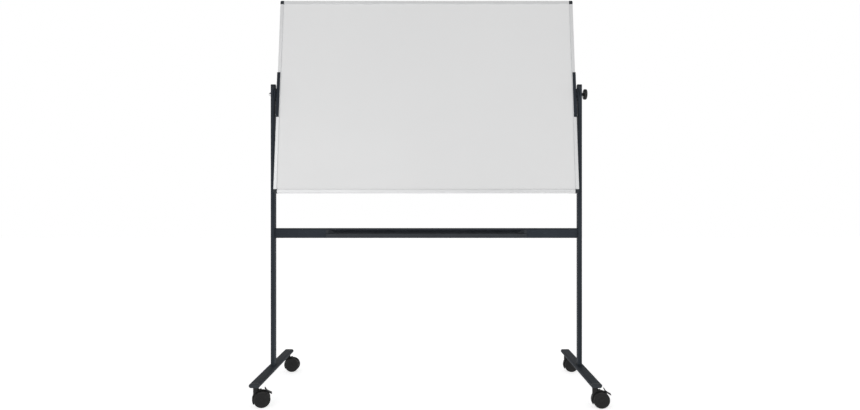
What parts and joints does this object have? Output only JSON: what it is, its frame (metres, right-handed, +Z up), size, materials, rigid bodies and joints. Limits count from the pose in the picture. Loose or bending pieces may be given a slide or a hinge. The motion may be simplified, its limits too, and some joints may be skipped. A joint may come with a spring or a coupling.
{
  "type": "rolling whiteboard",
  "caption": "Rolling double-sided whiteboard that turns over between posts on castered feet, with a clamp knob and a pen tray in the crossbar.",
  "frame": {"origin": "on the floor, midway between the four casters' swivel axes", "axes": "+X to the right seen from the front, +Y to the back, +Z up"},
  "size_m": [1.6359, 0.67, 1.9678],
  "materials": {
    "powder_coat": "satin textured powder coat",
    "moulded_dark": "fine moulded grain",
    "caster_plastic": "satin moulded",
    "tyre": "matte",
    "knob_plastic": "satin moulded",
    "anodised_aluminium": "satin anodised",
    "enamel": "gloss enamel",
    "zinc_steel": "bright zinc plate",
    "brass": "machined",
    "core_board": "plain",
    "bush_nylon": "smooth"
  },
  "bodies": {
    "stand": {"left_post": "powder_coat", "right_post": "powder_coat", "post_caps": "moulded_dark", "left_foot": "powder_coat", "right_foot": "powder_coat", "foot_end_caps": "moulded_dark", "post_base_inserts": "zinc_steel", "foot_bolts": "zinc_steel", "crossbar": "powder_coat", "pen_tray": "moulded_dark", "crossbar_inserts": "zinc_steel", "crossbar_screws": "zinc_steel", "friction_discs": "powder_coat", "pivot_bushes": "bush_nylon", "caster_stems": "zinc_steel", "caster_thread_inserts": "zinc_steel"},
    "board": {"panel_core": "core_board", "front_writing_sheet": "enamel", "rear_writing_sheet": "enamel", "top_frame_rail": "anodised_aluminium", "bottom_frame_rail": "anodised_aluminium", "left_frame_rail": "anodised_aluminium", "right_frame_rail": "anodised_aluminium", "corner_caps": "moulded_dark", "corner_screws": "zinc_steel", "left_bracket": "powder_coat", "right_bracket": "powder_coat", "bracket_screws": "zinc_steel", "left_pivot_stud": "powder_coat", "right_clamp_stud": "powder_coat", "left_dome_nut": "zinc_steel"},
    "knob": {"clamp_knob": "knob_plastic", "knob_insert": "brass"},
    "front_left_caster": {"front_left_caster_housing": "caster_plastic", "front_left_caster_axle": "zinc_steel"},
    "front_left_front_wheel_set": {"front_left_front_wheel": "caster_plastic", "front_left_front_tyre": "tyre"},
    "front_left_rear_wheel_set": {"front_left_rear_wheel": "caster_plastic", "front_left_rear_tyre": "tyre"},
    "front_left_brake": {"front_left_brake_pedal": "caster_plastic"},
    "front_right_caster": {"front_right_caster_housing": "caster_plastic", "front_right_caster_axle": "zinc_steel"},
    "front_right_front_wheel_set": {"front_right_front_wheel": "caster_plastic", "front_right_front_tyre": "tyre"},
    "front_right_rear_wheel_set": {"front_right_rear_wheel": "caster_plastic", "front_right_rear_tyre": "tyre"},
    "front_right_brake": {"front_right_brake_pedal": "caster_plastic"},
    "back_left_caster": {"back_left_caster_housing": "caster_plastic", "back_left_caster_axle": "zinc_steel"},
    "back_left_front_wheel_set": {"back_left_front_wheel": "caster_plastic", "back_left_front_tyre": "tyre"},
    "back_left_rear_wheel_set": {"back_left_rear_wheel": "caster_plastic", "back_left_rear_tyre": "tyre"},
    "back_right_caster": {"back_right_caster_housing": "caster_plastic", "back_right_caster_axle": "zinc_steel"},
    "back_right_front_wheel_set": {"back_right_front_wheel": "caster_plastic", "back_right_front_tyre": "tyre"},
    "back_right_rear_wheel_set": {"back_right_rear_wheel": "caster_plastic", "back_right_rear_tyre": "tyre"}
  },
  "joints": [
    {"name": "board_turn", "type": "hinge", "parent": "stand", "child": "board", "pos_m": [0, 0, 1.4756], "axis": [1, 0, 0], "continuous": true},
    {"name": "knob_turn", "type": "hinge", "parent": "board", "child": "knob", "pos_m": [0.79, 0, 1.4756], "axis": [1, 0, 0], "range_deg": [0, 360]},
    {"name": "front_left_swivel", "type": "hinge", "parent": "stand", "child": "front_left_caster", "pos_m": [-0.77, -0.306, 0.09], "axis": [0, 0, 1], "continuous": true},
    {"name": "front_left_front_roll", "type": "hinge", "parent": "front_left_caster", "child": "front_left_front_wheel_set", "pos_m": [-0.74501, -0.29883, 0.0375], "axis": [-0.2756, 0.9613, 0], "continuous": true},
    {"name": "front_left_rear_roll", "type": "hinge", "parent": "front_left_caster", "child": "front_left_rear_wheel_set", "pos_m": [-0.74501, -0.29883, 0.0375], "axis": [-0.2756, 0.9613, 0], "continuous": true},
    {"name": "front_left_brake_press", "type": "hinge", "parent": "front_left_caster", "child": "front_left_brake", "pos_m": [-0.72492, -0.29307, 0.0734], "axis": [-0.2756, 0.9613, 0], "range_deg": [0, 15]},
    {"name": "front_right_swivel", "type": "hinge", "parent": "stand", "child": "front_right_caster", "pos_m": [0.77, -0.306, 0.09], "axis": [0, 0, 1], "continuous": true},
    {"name": "front_right_front_roll", "type": "hinge", "parent": "front_right_caster", "child": "front_right_front_wheel_set", "pos_m": [0.79594, -0.30781, 0.0375], "axis": [0.0698, 0.9976, 0], "continuous": true},
    {"name": "front_right_rear_roll", "type": "hinge", "parent": "front_right_caster", "child": "front_right_rear_wheel_set", "pos_m": [0.79594, -0.30781, 0.0375], "axis": [0.0698, 0.9976, 0], "continuous": true},
    {"name": "front_right_brake_press", "type": "hinge", "parent": "front_right_caster", "child": "front_right_brake", "pos_m": [0.81679, -0.30927, 0.0734], "axis": [0.0698, 0.9976, 0], "range_deg": [0, 15]},
    {"name": "back_left_swivel", "type": "hinge", "parent": "stand", "child": "back_left_caster", "pos_m": [-0.77, 0.306, 0.09], "axis": [0, 0, 1], "continuous": true},
    {"name": "back_left_front_roll", "type": "hinge", "parent": "back_left_caster", "child": "back_left_front_wheel_set", "pos_m": [-0.74402, 0.30509, 0.0375], "axis": [0.0349, 0.9994, 0], "continuous": true},
    {"name": "back_left_rear_roll", "type": "hinge", "parent": "back_left_caster", "child": "back_left_rear_wheel_set", "pos_m": [-0.74402, 0.30509, 0.0375], "axis": [0.0349, 0.9994, 0], "continuous": true},
    {"name": "back_right_swivel", "type": "hinge", "parent": "stand", "child": "back_right_caster", "pos_m": [0.77, 0.306, 0.09], "axis": [0, 0, 1], "continuous": true},
    {"name": "back_right_front_roll", "type": "hinge", "parent": "back_right_caster", "child": "back_right_front_wheel_set", "pos_m": [0.7959, 0.30373, 0.0375], "axis": [0.0872, 0.9962, 0], "continuous": true},
    {"name": "back_right_rear_roll", "type": "hinge", "parent": "back_right_caster", "child": "back_right_rear_wheel_set", "pos_m": [0.7959, 0.30373, 0.0375], "axis": [0.0872, 0.9962, 0], "continuous": true}
  ]
}
